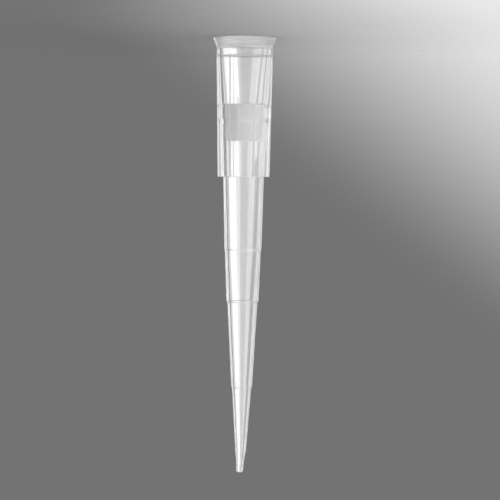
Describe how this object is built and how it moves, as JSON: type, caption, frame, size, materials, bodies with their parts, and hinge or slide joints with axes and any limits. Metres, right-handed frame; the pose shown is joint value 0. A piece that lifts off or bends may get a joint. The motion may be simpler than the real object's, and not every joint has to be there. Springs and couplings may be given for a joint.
{
  "type": "pipette tip",
  "caption": "Clear tapered tip for an air-displacement pipette, with a flared rim, a straight collar, a stepped barrel, a fine point and a porous filter plug in its bore.",
  "frame": {"origin": "centre of the rim's flat face, on which the tip stands", "axes": "+Z along the tip's axis, from the rim to the point; the tip is round about +Z"},
  "size_m": [0.0074, 0.0074, 0.0505],
  "materials": {
    "clear_polypropylene": "smooth moulded, clear with a slight milkiness",
    "porous_polyethylene": "matt white, sintered grain"
  },
  "bodies": {
    "root": {"tip_body": "clear_polypropylene", "filter_plug": "porous_polyethylene"}
  },
  "joints": []
}
